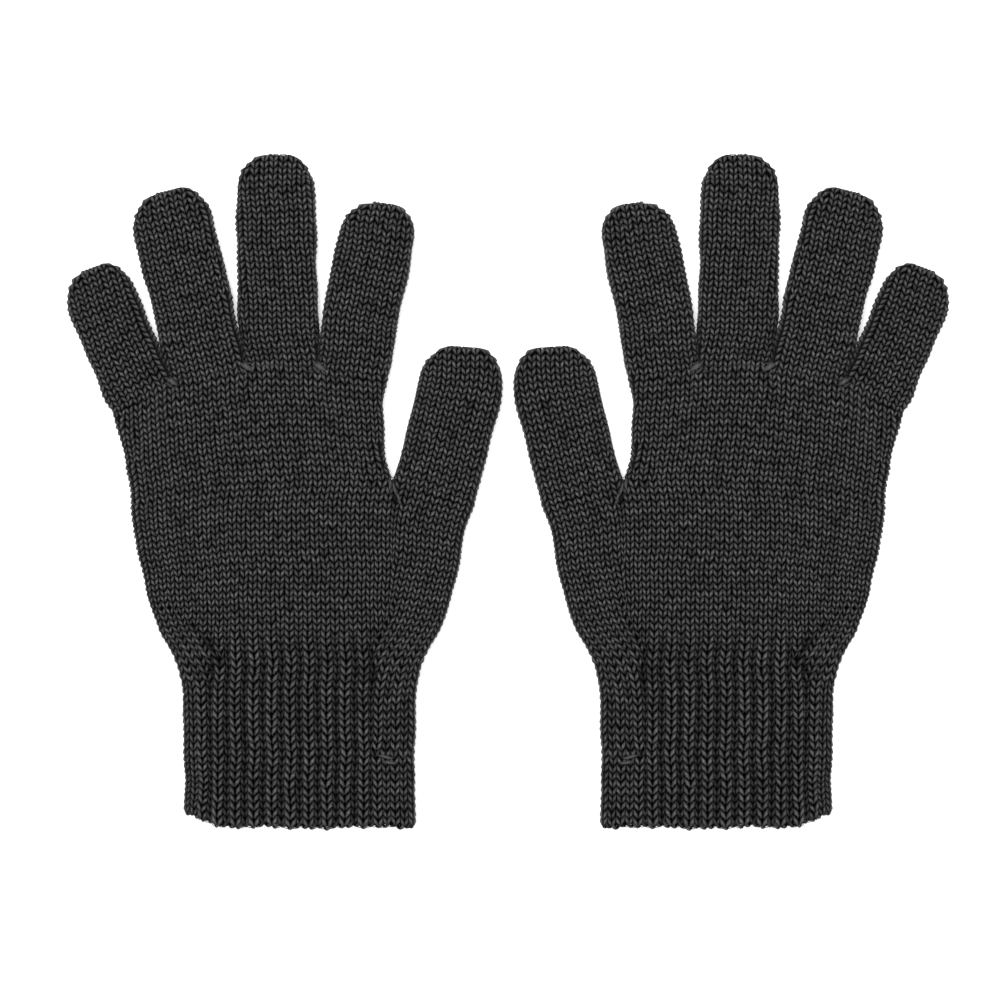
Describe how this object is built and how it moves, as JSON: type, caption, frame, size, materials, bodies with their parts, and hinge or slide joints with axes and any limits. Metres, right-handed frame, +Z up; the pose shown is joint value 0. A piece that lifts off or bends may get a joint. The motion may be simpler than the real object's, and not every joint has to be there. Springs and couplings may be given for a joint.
{
  "type": "pair of knitted gloves",
  "caption": "Pair of plain knitted gloves with separate fingers and ribbed cuffs, lying flat with the backs up; digits and cuffs fold, and each glove is open inside for a hand.",
  "frame": {"origin": "middle of the pair on the surface it lies on, at the bottom centre of its bounding box", "axes": "+X from the left glove to the right glove, +Y from the cuffs to the fingertips, +Z up out of the backs of the gloves"},
  "size_m": [0.3236, 0.249, 0.0107],
  "materials": {
    "knit_yarn": "matte brushed acrylic and wool yarn, charcoal",
    "rib_yarn": "matte brushed acrylic and wool yarn, charcoal",
    "sewing_yarn": "matte twisted yarn, charcoal",
    "elastic_thread": "matte covered elastic thread, dark grey"
  },
  "bodies": {
    "left_hand": {"left_upper_palm": "knit_yarn", "left_lower_palm": "knit_yarn", "left_index_middle_join": "sewing_yarn", "left_middle_ring_join": "sewing_yarn", "left_ring_little_join": "sewing_yarn", "left_thumb_join": "sewing_yarn"},
    "left_cuff_body": {"left_cuff": "rib_yarn", "left_cuff_elastic": "elastic_thread", "left_cuff_edge": "rib_yarn", "left_cuff_tail_stitch": "sewing_yarn"},
    "left_thumb_body": {"left_thumb": "knit_yarn", "left_thumb_tip_closing": "sewing_yarn"},
    "left_index_body": {"left_index_finger": "knit_yarn", "left_index_tip_closing": "sewing_yarn"},
    "left_middle_body": {"left_middle_finger": "knit_yarn", "left_middle_tip_closing": "sewing_yarn"},
    "left_ring_body": {"left_ring_finger": "knit_yarn", "left_ring_tip_closing": "sewing_yarn"},
    "left_little_body": {"left_little_finger": "knit_yarn", "left_little_tip_closing": "sewing_yarn"},
    "right_hand": {"right_upper_palm": "knit_yarn", "right_lower_palm": "knit_yarn", "right_index_middle_join": "sewing_yarn", "right_middle_ring_join": "sewing_yarn", "right_ring_little_join": "sewing_yarn", "right_thumb_join": "sewing_yarn"},
    "right_cuff_body": {"right_cuff": "rib_yarn", "right_cuff_elastic": "elastic_thread", "right_cuff_edge": "rib_yarn", "right_cuff_tail_stitch": "sewing_yarn"},
    "right_thumb_body": {"right_thumb": "knit_yarn", "right_thumb_tip_closing": "sewing_yarn"},
    "right_index_body": {"right_index_finger": "knit_yarn", "right_index_tip_closing": "sewing_yarn"},
    "right_middle_body": {"right_middle_finger": "knit_yarn", "right_middle_tip_closing": "sewing_yarn"},
    "right_ring_body": {"right_ring_finger": "knit_yarn", "right_ring_tip_closing": "sewing_yarn"},
    "right_little_body": {"right_little_finger": "knit_yarn", "right_little_tip_closing": "sewing_yarn"}
  },
  "joints": [
    {"name": "left_wrist_fold", "type": "hinge", "parent": "left_hand", "child": "left_cuff_body", "pos_m": [-0.0771, -0.059, 0.005], "axis": [1, 0, 0], "range_deg": [-70, 70]},
    {"name": "left_thumb_bend", "type": "hinge", "parent": "left_hand", "child": "left_thumb_body", "pos_m": [-0.0275, 0, 0.005], "axis": [-0.9711, 0.2385, 0], "range_deg": [-20, 70]},
    {"name": "left_index_bend", "type": "hinge", "parent": "left_hand", "child": "left_index_body", "pos_m": [-0.05711, 0.04359, 0.005], "axis": [-0.9833, 0.1822, 0], "range_deg": [-20, 90]},
    {"name": "left_middle_bend", "type": "hinge", "parent": "left_hand", "child": "left_middle_body", "pos_m": [-0.0831, 0.0459, 0.005], "axis": [-1, 0, 0], "range_deg": [-20, 90]},
    {"name": "left_ring_bend", "type": "hinge", "parent": "left_hand", "child": "left_ring_body", "pos_m": [-0.11024, 0.043, 0.005], "axis": [-0.9781, -0.2079, 0], "range_deg": [-20, 90]},
    {"name": "left_little_bend", "type": "hinge", "parent": "left_hand", "child": "left_little_body", "pos_m": [-0.13565, 0.03558, 0.005], "axis": [-0.9336, -0.3584, 0], "range_deg": [-20, 90]},
    {"name": "right_wrist_fold", "type": "hinge", "parent": "right_hand", "child": "right_cuff_body", "pos_m": [0.0771, -0.059, 0.005], "axis": [1, 0, 0], "range_deg": [-70, 70]},
    {"name": "right_thumb_bend", "type": "hinge", "parent": "right_hand", "child": "right_thumb_body", "pos_m": [0.0275, 0, 0.005], "axis": [-0.9711, -0.2385, 0], "range_deg": [-20, 70]},
    {"name": "right_index_bend", "type": "hinge", "parent": "right_hand", "child": "right_index_body", "pos_m": [0.05711, 0.04359, 0.005], "axis": [-0.9833, -0.1822, 0], "range_deg": [-20, 90]},
    {"name": "right_middle_bend", "type": "hinge", "parent": "right_hand", "child": "right_middle_body", "pos_m": [0.0831, 0.0459, 0.005], "axis": [-1, 0, 0], "range_deg": [-20, 90]},
    {"name": "right_ring_bend", "type": "hinge", "parent": "right_hand", "child": "right_ring_body", "pos_m": [0.11024, 0.043, 0.005], "axis": [-0.9781, 0.2079, 0], "range_deg": [-20, 90]},
    {"name": "right_little_bend", "type": "hinge", "parent": "right_hand", "child": "right_little_body", "pos_m": [0.13565, 0.03558, 0.005], "axis": [-0.9336, 0.3584, 0], "range_deg": [-20, 90]},
    {"name": "right_glove_lift", "type": "slide", "parent": "left_hand", "child": "right_hand", "axis": [0, 0, 1], "range_m": [0, 0.15]}
  ]
}
